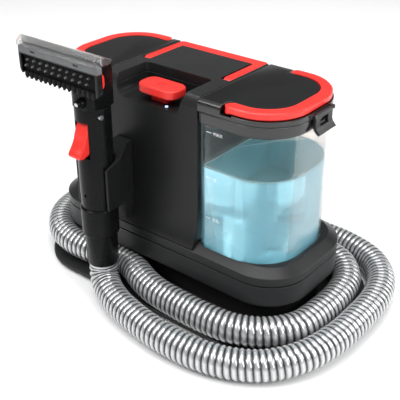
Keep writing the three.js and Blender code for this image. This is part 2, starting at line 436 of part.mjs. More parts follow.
// ------------------------------------------------------------ nozzle head
{
  const cx = (NECK.x0 + NECK.x1) / 2;
  const neckPlan = rrect(NECK.x0, NECK.x1, NECK.y0, NECK.y1, [7, 9, 14, 18], 12);
  const bore = cylZ(9.4, 230, 310, cx, WAND.y + 6.2, 18);
  const btn = (x0, x1, g) => {
    const s = rrect(-137 - g, -121 + g, 279 - g, 299 + g, 7 + g, 12).map((p) => [p.x, p.y]);
    return sweepX(s, x0, x1);
  };
  // black fan-shaped duct that carries the hood, open on top
  const fanLow = (d) => [V2(-66 + d, -112), V2(-38 - d, -112), V2(-33 - d, -120), V2(-31 - d, -130), V2(-24 - d, -139), V2(-10 - d, -147), V2(1 - d, -153),
    V2(4 - d, HEAD.y1 + 0.3), V2(-108 + d, HEAD.y1 + 0.3), V2(-105 + d, -153), V2(-94 + d, -147), V2(-80 + d, -139), V2(-73 + d, -130), V2(-71 + d, -120)].reverse();
  const duct = cut(prism(fanLow(0), 296, 340).intersect(sweepX([[-165, 296], [-100, 285], [-100, 303], [-104, 308 - HOOD_DEPTH - 0.3], [-150, 329.6 - HOOD_DEPTH - 0.3], [-165, 334 - HOOD_DEPTH - 0.3]], -150, 50)),
    prism(fanLow(2.4), 300.5, 340).intersect(box(-150, 50, -155.8, -121, 300, 340)));
  put('nozzle_neck', cut(join(prism(neckPlan, NECK.z0, NECK.z1), cylZ(18, 252.6, NECK.z0 + 1, cx, WAND.y, 20), duct),
    bore, btn(-38.6, -20, 0.35)), BLACK, nozzleGroup);
  put('release_button', btn(-34.4, -28.4, 0), RED, nozzleGroup);
  // fan-shaped hood falling to the rear
  const fan = (d) => [V2(-64 + 0.6 * d, -100 - d), V2(-40 - 0.6 * d, -100 - d), V2(-34.5 - 0.8 * d, -102.5 - 0.7 * d), V2(-32 - d, -108), V2(-30 - d, -122), V2(-22 - d, -134), V2(-8 - d, -143), V2(4 - 0.6 * d, -150),
    V2(8 - d, -156), V2(8 - d, -159.4), V2(-112 + d, -159.4), V2(-112 + d, -156), V2(-108 + 0.6 * d, -150), V2(-96 + d, -143), V2(-82 + d, -134), V2(-74 + d, -122), V2(-72 + d, -108), V2(-69.5 + 0.8 * d, -102.5 - 0.7 * d)].reverse();
  const slope = (h) => sweepX([[-180, 280], [-80, 280], [-80, 297.9 - h], [-99, 304.6 - h], [-104, 308 - h], [-150, 329.6 - h], [-159.4, 333.4 - h], [-180, 334 - h]], -150, 50);
  const under = (h) => sweepX([[-180, 250], [-80, 250], [-80, 297.9 - h], [-99, 304.6 - h], [-104, 308 - h], [-150, 329.6 - h], [-159.4, 333.4 - h], [-180, 334 - h]], -150, 50);
  const hood = cut(prism(fan(0), 292, 340).intersect(slope(0)),
    prism(fan(2.4), 290, 340).intersect(slope(2.4)).intersect(box(-150, 50, -157.6, -80, 280, 340)),
    under(HOOD_DEPTH), box(HEAD.x0 - 2, HEAD.x1 + 2, -180, HEAD.y1 + 0.3, 280, HEAD.z1 + 0.3),
    box(-200, 100, -150, -80, 280, 304));
  put('nozzle_hood', hood, SILVER, nozzleGroup);
  // clear lip over the suction slot
  put('slot_window', sweepX([[-168.4, 325.3], [-168.4, 327.6], [-167.2, 330.4], [-164.6, 333.2], [-162, 334.6], [-159.8, 334.8], [-159.8, 332.6], [-162, 332.2], [-164, 330.8], [-166, 328], [-166.3, 325.3]], HEAD.x0 + 1, HEAD.x1 - 1),
    { color: 0xdfe3e6, roughness: 0.08, metalness: 0, transparent: true, opacity: 0.45 }, nozzleGroup);
  // face frame, open below and in front for the brush
  const face = rrect(HEAD.x0, HEAD.x1, HEAD.z0, HEAD.z1, [4, 3, 3, 9], 12).map((p) => [p.x, p.y]);
  const frame = cut(sweepY(face, HEAD.y0, HEAD.y1),
    box(HEAD.x0 + 3.4, HEAD.x1 - 3.4, -180, -160.6, 280, 315.4),
    box(-92, -85, -180, -164.4, 319.4, 321.6), box(-26, -19, -180, -164.4, 319.4, 321.6),
    box(cx - 40, cx + 40, -161, -140, 318, 323.4));
  put('nozzle_face', frame, { color: 0x6f7376, roughness: 0.35, metalness: 0.1 }, nozzleGroup);
  // brush block with two staggered rows of nubs and a lower fringe
  let brush = box(HEAD.x0 + 3.8, HEAD.x1 - 3.8, -162.4, -160.9, 292.4, 315);
  const nub = (px, pz, len, r) => {
    const g = new THREE.CylinderGeometry(r * 0.6, r, len, 6);
    g.rotateX(Math.PI);
    g.translate(px, -162.4 - len / 2 + 0.6, pz);
    return solid(g);
  };
  for (let k = 0; k < 10; k++) brush = brush.add(nub(-100.5 + k * 10.4, 309.6, 4.4, 1.7)).add(nub(-105 + 1.4 + k * 10.4, 302, 4.4, 1.7));
  for (let k = 0; k < 12; k++) {
    const g = new THREE.CylinderGeometry(1.3, 1.0, 9, 6);
    g.rotateX(Math.PI / 2 - 0.45);
    g.translate(-102 + k * 9, -163.9, 291.4);
    brush = brush.add(solid(g));
  }
  put('brush_block', brush, { color: 0x1b1c1d, roughness: 0.6, metalness: 0 }, nozzleGroup);
  put('spray_nozzle', cut(join(cylY(6, -146.5, NECK.y0 - 0.3, SPRAY.x, SPRAY.z, 18), cylY(4.4, -149.6, -146.2, SPRAY.x, SPRAY.z, 16)), cylY(1.2, -160, -145, SPRAY.x, SPRAY.z, 8)), { color: 0x26282a, roughness: 0.35, metalness: 0 }, nozzleGroup);
}

// ------------------------------------------------------------ hose
// from the wand's cuff once round the outside, then round the tray's
// channel to the coupler behind the base
{
  const P = [
    [-52, -119.5, 47.7], [-52, -119.5, 41], [-50.6, -121, 33.4], [-45.4, -125, 25.4], [-36, -130.4, 20.2], [-22, -137.4, 18.5],
    [0, -146, 18.3], [46, -156.6, 18.3], [88, -160.6, 18.3], [130, -158, 18.3], [168, -147, 18.3], [201, -125, 18.8],
    [225, -90, 20.6], [236.6, -45, 21.2], [239, 5, 21.2], [236, 55, 21], [221, 98, 19.6], [193, 128, 18.4], [150, 143, 18.3], [95, 146, 18.3],
    [20, 145, 18.3], [-60, 146, 18.3], [-120, 143, 18.3], [-168, 128, 18.3], [-203, 98, 18.3], [-221, 55, 18.4],
    [-223, 14, 19.6], [-216.6, -22, 23.6], [-200, -54, 26.3], [-174, -78, 26.5], [-140, -90, 26.5], [-105, -90.6, 26.5], [-75, -85.6, 26.5], [-50, -82.2, 26.5],
    [-28, -88, 26.5], [-6, -98, 26.5], [22, -106.4, 26.5], [60, -110, 26.5], [105, -110.4, 26.5], [142, -105, 26.5], [174, -87, 26.5],
    [195, -58, 26.5], [201, -20, 26.5], [201, 22, 26.5], [192, 60, 26.5], [168, 88, 26.6], [134, 98, 27], [95, 99.2, 27.6], [50, 98.8, 28.3], [10, 98.6, 28.5], [-27.7, 98.6, 28.5],
  ].map((p) => new THREE.Vector3(...p));
  const curve = new THREE.CatmullRomCurve3(P, false, 'centripetal');
  const ring = [];
  for (let i = 0; i < HOSE_SIDES; i++) {
    const a = (2 * Math.PI * (i + 0.5)) / HOSE_SIDES;
    ring.push(V2(HOSE_R * Math.cos(a), HOSE_R * Math.sin(a)));
  }
  const g = new THREE.ExtrudeGeometry(new THREE.Shape(ring), { steps: HOSE_STEPS, extrudePath: curve, bevelEnabled: false });
  put('suction_hose', solid(g), { color: 0xc8ccce, roughness: 0.2, metalness: 0, transparent: true, opacity: 0.6 });
}

// origin at the bottom centre of the machine without its hose
const FRONT = -168.4;            // face of the clear lip over the suction slot
root.position.set(-(TRAY.x0 + TRAY.x1) / 2, -(FRONT + TRAY.y) / 2, 0);
root.updateMatrixWorld(true);

export default root;
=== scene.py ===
# Portable spot carpet cleaner: looks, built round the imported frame. Metres, +Z up.
import bpy, bmesh, math, random
import numpy as np
from mathutils import Vector, Matrix


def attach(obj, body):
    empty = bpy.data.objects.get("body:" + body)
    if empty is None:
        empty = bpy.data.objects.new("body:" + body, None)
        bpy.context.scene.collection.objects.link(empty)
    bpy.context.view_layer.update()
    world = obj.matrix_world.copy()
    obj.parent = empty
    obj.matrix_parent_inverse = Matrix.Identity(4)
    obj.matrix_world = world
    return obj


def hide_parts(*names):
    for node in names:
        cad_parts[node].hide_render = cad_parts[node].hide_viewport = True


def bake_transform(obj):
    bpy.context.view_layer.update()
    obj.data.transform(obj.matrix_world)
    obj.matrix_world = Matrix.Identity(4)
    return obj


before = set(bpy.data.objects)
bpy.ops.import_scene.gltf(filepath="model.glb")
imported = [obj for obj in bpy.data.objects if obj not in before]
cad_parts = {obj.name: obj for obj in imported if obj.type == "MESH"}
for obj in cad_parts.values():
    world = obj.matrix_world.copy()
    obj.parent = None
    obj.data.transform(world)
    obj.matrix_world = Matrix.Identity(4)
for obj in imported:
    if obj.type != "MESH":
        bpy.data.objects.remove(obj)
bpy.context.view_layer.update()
random.seed(7)
rng = np.random.default_rng(7)
scene = bpy.context.scene

OX, OY = -0.012, 0.0247          # machine centre line to frame origin


def W(x, y, z):
    return Vector((x / 1000 + OX, y / 1000 + OY, z / 1000))


# ------------------------------------------------------------------ camera
cam_data = bpy.data.cameras.new("camera")
cam_data.sensor_width = 36.0
cam_data.lens = 784.7556 / 400.0 * 36.0
cam_data.clip_start = 0.02
cam_data.clip_end = 60
cam = bpy.data.objects.new("camera", cam_data)
cam.location = (0.5414, -0.6546, 0.5950)
cam.rotation_euler = (math.pi / 2 - 0.5157, 0.0, 0.6778)
scene.collection.objects.link(cam)
scene.camera = cam


# ------------------------------------------------------------------ helpers
def new_object(name, verts, faces, mats, smooth=True, mat_index=None):
    me = bpy.data.meshes.new(name)
    me.from_pydata([tuple(map(float, v)) for v in verts], [], faces)
    for m in mats if isinstance(mats, (list, tuple)) else [mats]:
        me.materials.append(m)
    me.polygons.foreach_set("use_smooth", [smooth] * len(me.polygons))
    if mat_index is not None:
        me.polygons.foreach_set("material_index", mat_index)
    me.update()
    ob = bpy.data.objects.new(name, me)
    scene.collection.objects.link(ob)
    return ob


def grid_faces(rings, n, closed=True, start=0, flip=False):
    f = []
    m = n if closed else n - 1
    for i in range(rings - 1):
        for j in range(m):
            a = start + i * n + j
            b = start + i * n + (j + 1) % n
            q = (a, b, b + n, a + n)
            f.append(q[::-1] if flip else q)
    return f


def join_parts(parts):
    """parts: list of (verts, faces, material index). One vertex list, one face list, one index list."""
    V, F, M = [], [], []
    for v, f, m in parts:
        o = len(V)
        V.extend([tuple(p) for p in v])
        F.extend([tuple(i + o for i in q) for q in f])
        M.extend([m] * len(f))
    return V, F, M


def lathe(profile, segs, axis_o=(0, 0, 0), closed=True):
    """profile [(r, z)] in mm round +Z at axis_o (mm, machine frame)."""
    v, n = [], segs
    for r, z in profile:
        for k in range(segs):
            a = 2 * math.pi * k / segs
            v.append(W(axis_o[0] + r * math.cos(a), axis_o[1] + r * math.sin(a), axis_o[2] + z))
    return v, grid_faces(len(profile), n)


def tube_mesh(points, radius, sides, close_ends=True):
    """A round tube along points (metres); radius a number or one per point."""
    P = np.array([tuple(p) for p in points], float)
    T = np.gradient(P, axis=0)
    T /= np.linalg.norm(T, axis=1)[:, None]
    up = np.array([0, 0, 1.0]) if abs(T[0][2]) < 0.9 else np.array([0, 1.0, 0])
    r0 = np.cross(T[0], up); r0 /= np.linalg.norm(r0)
    R = [r0]
    for i in range(len(P) - 1):
        v1 = P[i + 1] - P[i]
        c1 = v1 @ v1
        rl = R[-1] - (2 / c1) * (v1 @ R[-1]) * v1
        tl = T[i] - (2 / c1) * (v1 @ T[i]) * v1
        v2 = T[i + 1] - tl
        c2 = v2 @ v2
        r = rl - (2 / c2) * (v2 @ rl) * v2 if c2 > 1e-18 else rl
        R.append(r / np.linalg.norm(r))
    R = np.array(R)
    S = np.cross(T, R)
    rad = np.full(len(P), radius, float) if np.isscalar(radius) else np.asarray(radius, float)
    ang = np.arange(sides) * 2 * math.pi / sides
    V = (P[:, None, :] + rad[:, None, None] * (np.cos(ang)[None, :, None] * R[:, None, :] + np.sin(ang)[None, :, None] * S[:, None, :])).reshape(-1, 3)
    F = grid_faces(len(P), sides)
    V = [tuple(v) for v in V]
    if close_ends:
        V.append(tuple(P[0])); V.append(tuple(P[-1]))
        a, b = len(V) - 2, len(V) - 1
        n0 = (len(P) - 1) * sides
        for j in range(sides):
            F.append((a, (j + 1) % sides, j))
            F.append((b, n0 + j, n0 + (j + 1) % sides))
    return V, F, (P, T, R, S)


def catmull(points, per=24):
    """Centripetal Catmull-Rom through points, the same curve as the frame's tube."""
    P = [np.array(p, float) for p in points]
    P = [2 * P[0] - P[1]] + P + [2 * P[-1] - P[-2]]
    out = []
    for i in range(1, len(P) - 2):
        p0, p1, p2, p3 = P[i - 1], P[i], P[i + 1], P[i + 2]
        d0 = max(np.linalg.norm(p1 - p0) ** 0.5, 1e-9)
        d1 = max(np.linalg.norm(p2 - p1) ** 0.5, 1e-9)
        d2 = max(np.linalg.norm(p3 - p2) ** 0.5, 1e-9)
        t1 = ((p1 - p0) / d0 - (p2 - p0) / (d0 + d1) + (p2 - p1) / d1) * d1
        t2 = ((p2 - p1) / d1 - (p3 - p1) / (d1 + d2) + (p3 - p2) / d2) * d1
        for k in range(per):
            t = k / per
            out.append(p1 + t1 * t + (-3 * p1 + 3 * p2 - 2 * t1 - t2) * t * t + (2 * p1 - 2 * p2 + t1 + t2) * t ** 3)
    out.append(P[-2])
    return np.array(out)


def resample(P, n):
    s = np.concatenate([[0], np.cumsum(np.linalg.norm(np.diff(P, axis=0), axis=1))])
    u = np.linspace(0, s[-1], n)
    return np.stack([np.interp(u, s, P[:, k]) for k in range(3)], 1), s[-1]


# ------------------------------------------------------------------ materials
def nt_of(name):
    m = bpy.data.materials.new(name)
    m.use_nodes = True
    nt = m.node_tree
    nt.nodes.clear()
    out = nt.nodes.new("ShaderNodeOutputMaterial")
    bs = nt.nodes.new("ShaderNodeBsdfPrincipled")
    nt.links.new(bs.outputs[0], out.inputs[0])
    return m, nt, bs


def noise(nt, vec, scale, detail=3.0, rough=0.55):
    n = nt.nodes.new("ShaderNodeTexNoise")
    n.inputs["Scale"].default_value = scale
    n.inputs["Detail"].default_value = detail
    n.inputs["Roughness"].default_value = rough
    nt.links.new(vec, n.inputs["Vector"])
    return n


def ramp(nt, fac, stops):
    r = nt.nodes.new("ShaderNodeValToRGB")
    e = r.color_ramp.elements
    e[0].position, e[0].color = stops[0]
    e[1].position, e[1].color = stops[-1]
    for pos, col in stops[1:-1]:
        x = e.new(pos)
        x.color = col
    nt.links.new(fac, r.inputs["Fac"])
    return r


def mrange(nt, val, a, b, c, d):
    m = nt.nodes.new("ShaderNodeMapRange")
    for i, x in zip(("From Min", "From Max", "To Min", "To Max"), (a, b, c, d)):
        m.inputs[i].default_value = x
    nt.links.new(val, m.inputs["Value"])
    return m


def rgba(c, a=1.0):
    return (c[0], c[1], c[2], a)


def plastic(name, dark, light, rough=(0.34, 0.46), grain=0.10, grain_scale=2600, coat=0.0, edge=0.0007, spec=0.5,
            metallic=0.0, wear=0.0, dust=0.0, streak=None, ior=1.46):
    """Moulded plastic, rubber or paint: two tones, uneven gloss, a fine moulded grain and softened edges."""
    m, nt, bs = nt_of(name)
    tc = nt.nodes.new("ShaderNodeTexCoord")
    vec = tc.outputs["Object"]
    big = noise(nt, vec, 16, 4)
    mid = noise(nt, vec, 130, 5)
    fine = noise(nt, vec, grain_scale, 2)
    col = ramp(nt, big.outputs["Fac"], [(0.35, rgba(dark)), (0.65, rgba(light))])
    last = col.outputs["Color"]
    if dust > 0:
        geo = nt.nodes.new("ShaderNodeNewGeometry")
        sep = nt.nodes.new("ShaderNodeSeparateXYZ")
        nt.links.new(geo.outputs["Normal"], sep.inputs[0])
        up = mrange(nt, sep.outputs["Z"], 0.3, 1.0, 0.0, dust)
        mul = nt.nodes.new("ShaderNodeMath"); mul.operation = "MULTIPLY"
        nt.links.new(up.outputs[0], mul.inputs[0]); nt.links.new(mid.outputs["Fac"], mul.inputs[1])
        mx = nt.nodes.new("ShaderNodeMix"); mx.data_type = "RGBA"
        nt.links.new(mul.outputs[0], mx.inputs[0])
        nt.links.new(last, mx.inputs[6])
        mx.inputs[7].default_value = (0.42, 0.41, 0.40, 1)
        last = mx.outputs[2]
    nt.links.new(last, bs.inputs["Base Color"])
    rr = mrange(nt, mid.outputs["Fac"], 0.3, 0.7, rough[0], rough[1])
    nt.links.new(rr.outputs[0], bs.inputs["Roughness"])
    bev = nt.nodes.new("ShaderNodeBevel"); bev.samples = 4
    bev.inputs["Radius"].default_value = edge
    bu = nt.nodes.new("ShaderNodeBump")
    bu.inputs["Strength"].default_value = grain
    bu.inputs["Distance"].default_value = 0.0002
    nt.links.new(fine.outputs["Fac"], bu.inputs["Height"])
    nt.links.new(bev.outputs[0], bu.inputs["Normal"])
    nt.links.new(bu.outputs[0], bs.inputs["Normal"])
    bs.inputs["Metallic"].default_value = metallic
    bs.inputs["IOR"].default_value = ior
    bs.inputs["Specular IOR Level"].default_value = spec
    bs.inputs["Coat Weight"].default_value = coat
    bs.inputs["Coat Roughness"].default_value = 0.08
    return m


def metal(name, dark, light, rough=(0.22, 0.36), stretch=(1, 1, 40), grain=0.15):
    m, nt, bs = nt_of(name)
    tc = nt.nodes.new("ShaderNodeTexCoord")
    mp = nt.nodes.new("ShaderNodeMapping")
    mp.inputs["Scale"].default_value = stretch
    nt.links.new(tc.outputs["Object"], mp.inputs["Vector"])
    br = noise(nt, mp.outputs[0], 180, 4)
    col = ramp(nt, br.outputs["Fac"], [(0.3, rgba(dark)), (0.7, rgba(light))])
    nt.links.new(col.outputs[0], bs.inputs["Base Color"])
    rr = mrange(nt, br.outputs["Fac"], 0.3, 0.7, rough[0], rough[1])
    nt.links.new(rr.outputs[0], bs.inputs["Roughness"])
    bev = nt.nodes.new("ShaderNodeBevel"); bev.samples = 4
    bev.inputs["Radius"].default_value = 0.0004
    bu = nt.nodes.new("ShaderNodeBump")
    bu.inputs["Strength"].default_value = grain
    bu.inputs["Distance"].default_value = 0.0001
    nt.links.new(br.outputs["Fac"], bu.inputs["Height"])
    nt.links.new(bev.outputs[0], bu.inputs["Normal"])
    nt.links.new(bu.outputs[0], bs.inputs["Normal"])
    bs.inputs["Metallic"].default_value = 1.0
    return m


def clear(name, dark, light, rough=(0.03, 0.09), trans=1.0, ior=1.46, bump=0.02, bscale=60, alpha=1.0, zmix=None):
    """Clear or tinted plastic and water. zmix: (z0, z1, low colour) tints the lower part."""
    m, nt, bs = nt_of(name)
    tc = nt.nodes.new("ShaderNodeTexCoord")
    vec = tc.outputs["Object"]
    big = noise(nt, vec, 22, 3)
    col = ramp(nt, big.outputs["Fac"], [(0.3, rgba(dark)), (0.7, rgba(light))])
    last = col.outputs[0]
    if zmix:
        sep = nt.nodes.new("ShaderNodeSeparateXYZ")
        nt.links.new(vec, sep.inputs[0])
        f = mrange(nt, sep.outputs["Z"], zmix[0], zmix[1], 1.0, 0.0)
        mx = nt.nodes.new("ShaderNodeMix"); mx.data_type = "RGBA"
        nt.links.new(f.outputs[0], mx.inputs[0])
        nt.links.new(last, mx.inputs[6])
        mx.inputs[7].default_value = rgba(zmix[2])
        last = mx.outputs[2]
    nt.links.new(last, bs.inputs["Base Color"])
    rr = mrange(nt, big.outputs["Fac"], 0.3, 0.7, rough[0], rough[1])
    nt.links.new(rr.outputs[0], bs.inputs["Roughness"])
    bn = noise(nt, vec, bscale, 2)
    bu = nt.nodes.new("ShaderNodeBump")
    bu.inputs["Strength"].default_value = bump
    bu.inputs["Distance"].default_value = 0.001
    nt.links.new(bn.outputs["Fac"], bu.inputs["Height"])
    nt.links.new(bu.outputs[0], bs.inputs["Normal"])
    bs.inputs["Transmission Weight"].default_value = trans
    bs.inputs["IOR"].default_value = ior
    bs.inputs["Alpha"].default_value = alpha
    return m


M = {}
M["body"] = plastic("satin_black", (0.0100, 0.0104, 0.0110), (0.0140, 0.0144, 0.0152), rough=(0.32, 0.40), grain=0.05, grain_scale=1400, edge=0.0014, spec=0.38, dust=0.006)
M["tower"] = plastic("tower_black", (0.0085, 0.0088, 0.0092), (0.0120, 0.0124, 0.0130), rough=(0.33, 0.41), grain=0.05, grain_scale=1300, edge=0.0024, spec=0.24)
M["tray"] = plastic("tray_black", (0.0075, 0.0078, 0.0080), (0.0115, 0.0118, 0.0120), rough=(0.42, 0.52), grain=0.12, grain_scale=1300, edge=0.0008, dust=0.015, spec=0.4)
M["gloss_black"] = plastic("gloss_black", (0.0050, 0.0052, 0.0056), (0.0075, 0.0078, 0.0082), rough=(0.15, 0.21), grain=0.02, coat=0.0, edge=0.0022, spec=0.78)
M["wand"] = plastic("wand_black", (0.0040, 0.0042, 0.0044), (0.0062, 0.0064, 0.0067), rough=(0.22, 0.29), grain=0.01, coat=0.0, edge=0.0012, spec=0.11)
M["rubber"] = plastic("rubber_black", (0.016, 0.016, 0.016), (0.026, 0.026, 0.025), rough=(0.68, 0.82), grain=0.35, grain_scale=1400, edge=0.0005, spec=0.3, dust=0.06)
M["coral"] = plastic("coral_red", (0.80, 0.026, 0.020), (0.85, 0.036, 0.028), rough=(0.28, 0.36), grain=0.04, coat=0.10, edge=0.0012, spec=0.40)
M["coral_button"] = plastic("coral_button", (0.80, 0.028, 0.022), (0.85, 0.038, 0.030), rough=(0.32, 0.40), grain=0.06, coat=0.05, edge=0.0014, spec=0.4)
M["grey"] = plastic("inner_grey", (0.16, 0.165, 0.17), (0.22, 0.225, 0.23), rough=(0.45, 0.58), grain=0.18, edge=0.0005)
M["dark_inner"] = plastic("inner_dark", (0.035, 0.036, 0.038), (0.055, 0.056, 0.058), rough=(0.42, 0.55), grain=0.15, edge=0.0006)
M["white_plastic"] = plastic("float_white", (0.74, 0.74, 0.71), (0.82, 0.82, 0.79), rough=(0.4, 0.5), grain=0.10, edge=0.0005)
M["silver"] = plastic("silver_paint", (0.36, 0.37, 0.38), (0.42, 0.43, 0.44), rough=(0.20, 0.27), grain=0.02, grain_scale=1500, metallic=0.85, coat=0.2, edge=0.0012)
M["face_grey"] = plastic("face_grey", (0.155, 0.160, 0.165), (0.20, 0.205, 0.21), rough=(0.24, 0.34), grain=0.10, metallic=0.35, coat=0.2, edge=0.0008)
M["brush_black"] = plastic("brush_black", (0.005, 0.005, 0.0053), (0.009, 0.009, 0.009), rough=(0.5, 0.62), grain=0.1, edge=0.0004, spec=0.06)
M["nub_grey"] = plastic("nub_grey", (0.075, 0.077, 0.079), (0.13, 0.132, 0.136), rough=(0.25, 0.36), grain=0.05, edge=0.0003, spec=0.7)
# painted highlight: pale colour for the spray jet insert, standing in for the glint on the jet tip
M["tip"] = plastic("tip_pale", (0.62, 0.63, 0.65), (0.72, 0.73, 0.75), rough=(0.2, 0.3), grain=0.04, edge=0.0003)
M["bristle"] = plastic("bristle_black", (0.006, 0.006, 0.006), (0.013, 0.013, 0.013), rough=(0.42, 0.55), grain=0.05, edge=0.0002, spec=0.10)
M["steel"] = metal("pin_steel", (0.52, 0.53, 0.55), (0.72, 0.73, 0.75))
M["motor"] = metal("motor_steel", (0.36, 0.37, 0.39), (0.55, 0.56, 0.58), rough=(0.3, 0.45))
M["alu"] = metal("fan_aluminium", (0.60, 0.61, 0.63), (0.78, 0.79, 0.80), rough=(0.28, 0.4), stretch=(1, 1, 1))
M["smoke"] = clear("smoke_plastic", (0.50, 0.43, 0.34), (0.56, 0.49, 0.40), rough=(0.02, 0.05), trans=1.0, ior=1.30, bump=0.003, alpha=0.34, zmix=(0.1925, 0.1965, (0.90, 0.96, 1.0)))
M["smoke_dirty"] = clear("smoke_plastic_waste", (0.56, 0.50, 0.43), (0.63, 0.57, 0.50), rough=(0.03, 0.06), trans=1.0, ior=1.30, bump=0.004, alpha=0.34)
M["blue_water"] = clear("clean_water", (0.46, 0.86, 0.97), (0.52, 0.90, 0.99), rough=(0.0, 0.005), trans=0.78, ior=1.33, bump=0.002, bscale=26)
water_glow_shader = [n for n in M["blue_water"].node_tree.nodes if n.type == "BSDF_PRINCIPLED"][0]
# painted glow: a faint blue emission brightens the clean water, standing in for light passing through it
water_glow_shader.inputs["Emission Color"].default_value = (0.26, 0.74, 0.92, 1.0)
water_glow_shader.inputs["Emission Strength"].default_value = 0.030
M["brown_water"] = clear("waste_water", (0.30, 0.115, 0.022), (0.40, 0.17, 0.04), rough=(0.04, 0.10), trans=0.60, ior=1.33, bump=0.04, bscale=45, zmix=(0.085, 0.15, (0.20, 0.075, 0.015)))
M["clear_lip"] = clear("clear_lip", (0.80, 0.80, 0.77), (0.88, 0.88, 0.86), rough=(0.02, 0.05), trans=0.97, ior=1.45, bump=0.004, alpha=0.62)
M["droplet"] = clear("droplets", (0.90, 0.88, 0.84), (0.97, 0.96, 0.94), rough=(0.0, 0.02), trans=1.0, ior=1.33, bump=0.0)
def hose_material():
    """Clear vinyl over a wire: pale shiny ribs with painted shade darkening them towards the groove between the turns,
    where the dark wire lies. UV: x round the hose, y turns along it.
    """
    m, nt, bs = nt_of("hose_ribs")
    uv = nt.nodes.new("ShaderNodeUVMap")
    sep = nt.nodes.new("ShaderNodeSeparateXYZ")
    nt.links.new(uv.outputs[0], sep.inputs[0])
    d = nt.nodes.new("ShaderNodeMath"); d.operation = "SUBTRACT"
    nt.links.new(sep.outputs["Y"], d.inputs[0]); nt.links.new(sep.outputs["X"], d.inputs[1])
    fr = nt.nodes.new("ShaderNodeMath"); fr.operation = "FRACT"
    nt.links.new(d.outputs[0], fr.inputs[0])
    tc = nt.nodes.new("ShaderNodeTexCoord")
    n1 = noise(nt, tc.outputs["Object"], 240, 3)
    n2 = noise(nt, tc.outputs["Object"], 30, 3)
    # painted shade: rib colour falls from pale at the ridge to dark down the slopes into the groove; the black band at
    # the groove is the dark wire
    rib = ramp(nt, fr.outputs[0], [(0.0, (0.66, 0.67, 0.675, 1)), (0.22, (0.47, 0.48, 0.485, 1)), (0.36, (0.20, 0.205, 0.21, 1)), (0.44, (0.004, 0.004, 0.0045, 1)),
                                   (0.56, (0.004, 0.004, 0.0045, 1)), (0.64, (0.20, 0.205, 0.21, 1)), (0.78, (0.47, 0.48, 0.485, 1)), (1.0, (0.66, 0.67, 0.675, 1))])
    mx = nt.nodes.new("ShaderNodeMix"); mx.data_type = "RGBA"; mx.blend_type = "MULTIPLY"
    tone = ramp(nt, n2.outputs["Fac"], [(0.3, (0.86, 0.86, 0.87, 1)), (0.7, (1, 1, 1, 1))])
    mx.inputs[0].default_value = 1.0
    nt.links.new(rib.outputs[0], mx.inputs[6]); nt.links.new(tone.outputs[0], mx.inputs[7])
    nt.links.new(mx.outputs[2], bs.inputs["Base Color"])
    rr = mrange(nt, n1.outputs["Fac"], 0.3, 0.7, 0.10, 0.20)
    nt.links.new(rr.outputs[0], bs.inputs["Roughness"])
    bs.inputs["Metallic"].default_value = 0.5
    bs.inputs["IOR"].default_value = 1.5
    bs.inputs["Coat Weight"].default_value = 0.6
    bs.inputs["Coat Roughness"].default_value = 0.05
    return m


M["hose_clear"] = hose_material()
M["hose_wire"] = plastic("hose_wire", (0.018, 0.019, 0.020), (0.030, 0.031, 0.033), rough=(0.35, 0.45), grain=0.08, edge=0.0002)
M["hose_line"] = plastic("hose_line", (0.045, 0.046, 0.048), (0.075, 0.076, 0.08), rough=(0.4, 0.5), grain=0.1, edge=0.0002)
M["mark_white"] = plastic("mark_white", (0.78, 0.79, 0.78), (0.86, 0.87, 0.86), rough=(0.5, 0.6), grain=0.1, edge=0.0001)
M["glyph"] = plastic("glyph_red", (0.40, 0.010, 0.008), (0.46, 0.014, 0.011), rough=(0.4, 0.5), grain=0.05, edge=0.0001)
M["board"] = plastic("board_green", (0.018, 0.16, 0.07), (0.03, 0.22, 0.10), rough=(0.35, 0.5), grain=0.2, edge=0.0003)


def two_tone(name, low, high, z, soft=0.0006, rough=(0.16, 0.24)):
    """Glossy piece printed in two tones that meet at height z."""
    m, nt, bs = nt_of(name)
    tc = nt.nodes.new("ShaderNodeTexCoord")
    sep = nt.nodes.new("ShaderNodeSeparateXYZ")
    nt.links.new(tc.outputs["Object"], sep.inputs[0])
    f = mrange(nt, sep.outputs["Z"], z - soft, z + soft, 0.0, 1.0)
    n = noise(nt, tc.outputs["Object"], 90, 3)
    ca = ramp(nt, n.outputs["Fac"], [(0.3, rgba(low)), (0.7, rgba(tuple(x * 1.3 for x in low)))])
    cb = ramp(nt, n.outputs["Fac"], [(0.3, rgba(high)), (0.7, rgba(tuple(x * 1.15 for x in high)))])
    mx = nt.nodes.new("ShaderNodeMix"); mx.data_type = "RGBA"
    nt.links.new(f.outputs[0], mx.inputs[0])
    nt.links.new(ca.outputs[0], mx.inputs[6]); nt.links.new(cb.outputs[0], mx.inputs[7])
    nt.links.new(mx.outputs[2], bs.inputs["Base Color"])
    rr = mrange(nt, n.outputs["Fac"], 0.3, 0.7, rough[0], rough[1])
    nt.links.new(rr.outputs[0], bs.inputs["Roughness"])
    bev = nt.nodes.new("ShaderNodeBevel"); bev.samples = 4
    bev.inputs["Radius"].default_value = 0.0011
    nt.links.new(bev.outputs[0], bs.inputs["Normal"])
    bs.inputs["Specular IOR Level"].default_value = 0.22
    return m


M["face_two"] = two_tone("face_black_grey", (0.0050, 0.0052, 0.0055), (0.115, 0.118, 0.122), 0.3166)


def glow(name, color, strength):
    m, nt, bs = nt_of(name)
    tc = nt.nodes.new("ShaderNodeTexCoord")
    n = noise(nt, tc.outputs["Object"], 500, 2)
    c = ramp(nt, n.outputs["Fac"], [(0.3, rgba(tuple(x * 0.8 for x in color))), (0.7, rgba(color))])
    nt.links.new(c.outputs[0], bs.inputs["Base Color"])
    nt.links.new(c.outputs[0], bs.inputs["Emission Color"])
    bs.inputs["Emission Strength"].default_value = strength
    bs.inputs["Roughness"].default_value = 0.25
    return m


M["led"] = glow("pilot_blue", (0.45, 0.68, 1.0), 1.6)

